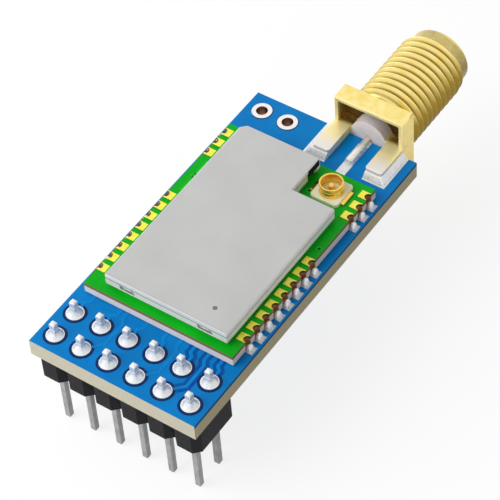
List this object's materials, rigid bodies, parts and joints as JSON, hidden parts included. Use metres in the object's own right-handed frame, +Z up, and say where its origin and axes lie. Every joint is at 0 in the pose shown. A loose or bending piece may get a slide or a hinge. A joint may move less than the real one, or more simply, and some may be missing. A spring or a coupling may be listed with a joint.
{
  "type": "long-range radio module with coaxial antenna connector",
  "caption": "Shielded radio module on a small carrier board, with a two-row pin header below one end and a threaded coaxial connector on the other.",
  "frame": {"origin": "centre of the pin field, on the lower face of the header's insulator, which seats on the mating socket", "axes": "+Z up out of the board's component side, +Y from the header towards the coaxial connector's mouth, +X across the board"},
  "size_m": [0.0154, 0.0427, 0.0136],
  "materials": {
    "carrier_mask": "glossy blue solder mask over glass board",
    "module_mask": "glossy green solder mask over glass board",
    "header_plastic": "moulded black nylon",
    "pin_metal": "bright tin",
    "solder": "smooth bright solder",
    "bare_plating": "solder-levelled copper",
    "gold_finish": "thin gold flash",
    "gold_plate": "gold-plated turned brass",
    "shield_sheet": "satin rolled nickel silver",
    "chip_black": "moulded epoxy",
    "chip_ceramic": "fired ceramic body",
    "cream_plastic": "moulded liquid crystal polymer",
    "white_fluoroplastic": "waxy turned fluoroplastic"
  },
  "bodies": {
    "root": {"antenna_switch": "chip_black", "antenna_trace": "bare_plating", "capacitors": "chip_ceramic", "carrier_board": "carrier_mask", "coax_body": "gold_plate", "coax_contact": "gold_plate", "coax_insulator": "white_fluoroplastic", "coax_leg_solder": "solder", "coax_tail_solder": "solder", "crystal": "shield_sheet", "edge_contacts_left": "gold_finish", "edge_contacts_right": "gold_finish", "ground_lands_bottom": "bare_plating", "ground_lands_top": "bare_plating", "header_hole_plating": "bare_plating", "header_insulator": "header_plastic", "header_pin_01": "pin_metal", "header_pin_02": "pin_metal", "header_pin_03": "pin_metal", "header_pin_04": "pin_metal", "header_pin_05": "pin_metal", "header_pin_06": "pin_metal", "header_pin_07": "pin_metal", "header_pin_08": "pin_metal", "header_pin_09": "pin_metal", "header_pin_10": "pin_metal", "header_pin_11": "pin_metal", "header_pin_12": "pin_metal", "header_solder": "solder", "inductors": "chip_ceramic", "module_board": "module_mask", "module_lands_left": "gold_finish", "module_lands_right": "gold_finish", "module_solder_left": "solder", "module_solder_right": "solder", "plated_hole_left": "bare_plating", "plated_hole_right": "bare_plating", "radio_chip": "chip_black", "shield_frame": "shield_sheet", "shield_lid": "shield_sheet", "snap_base": "cream_plastic", "snap_contact": "gold_finish", "snap_shell": "gold_finish"}
  },
  "joints": []
}
